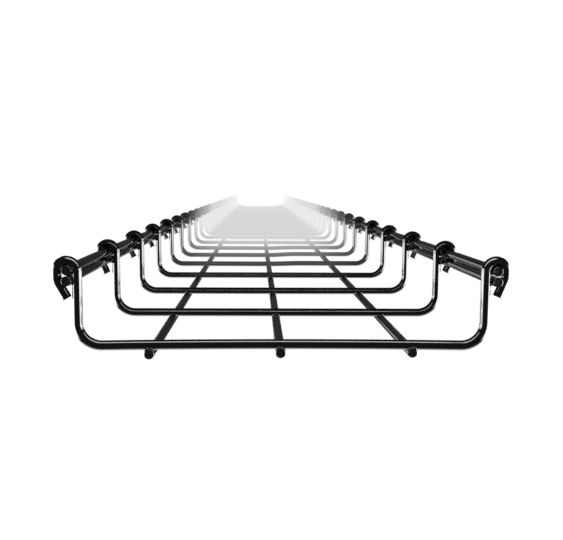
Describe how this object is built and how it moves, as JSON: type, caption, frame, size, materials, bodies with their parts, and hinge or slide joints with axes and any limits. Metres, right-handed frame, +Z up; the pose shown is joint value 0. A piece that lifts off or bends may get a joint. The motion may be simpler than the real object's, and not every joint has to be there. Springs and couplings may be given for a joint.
{
  "type": "wire mesh cable tray",
  "caption": "Straight length of welded wire-mesh cable tray: U-shaped cross wires with outward hooked ends over paired edge wires, on long floor wires.",
  "frame": {"origin": "on the ground under the middle of the tray, half way along its length", "axes": "+X across the tray to the right, +Y along its length away from the near end, +Z up"},
  "size_m": [0.22, 3, 0.0498],
  "materials": {
    "black_coating": "gloss black coat over drawn steel wire"
  },
  "bodies": {
    "root": {"left_floor_wire": "black_coating", "middle_floor_wire": "black_coating", "right_floor_wire": "black_coating", "cross_wire_01": "black_coating", "cross_wire_02": "black_coating", "cross_wire_03": "black_coating", "cross_wire_04": "black_coating", "cross_wire_05": "black_coating", "cross_wire_06": "black_coating", "cross_wire_07": "black_coating", "cross_wire_08": "black_coating", "cross_wire_09": "black_coating", "cross_wire_10": "black_coating", "cross_wire_11": "black_coating", "cross_wire_12": "black_coating", "cross_wire_13": "black_coating", "cross_wire_14": "black_coating", "cross_wire_15": "black_coating", "cross_wire_16": "black_coating", "cross_wire_17": "black_coating", "cross_wire_18": "black_coating", "cross_wire_19": "black_coating", "cross_wire_20": "black_coating", "cross_wire_21": "black_coating", "cross_wire_22": "black_coating", "cross_wire_23": "black_coating", "cross_wire_24": "black_coating", "cross_wire_25": "black_coating", "cross_wire_26": "black_coating", "cross_wire_27": "black_coating", "cross_wire_28": "black_coating", "cross_wire_29": "black_coating", "cross_wire_30": "black_coating", "cross_wire_31": "black_coating", "left_upper_rail_wire": "black_coating", "left_lower_rail_wire": "black_coating", "right_upper_rail_wire": "black_coating", "right_lower_rail_wire": "black_coating"}
  },
  "joints": []
}
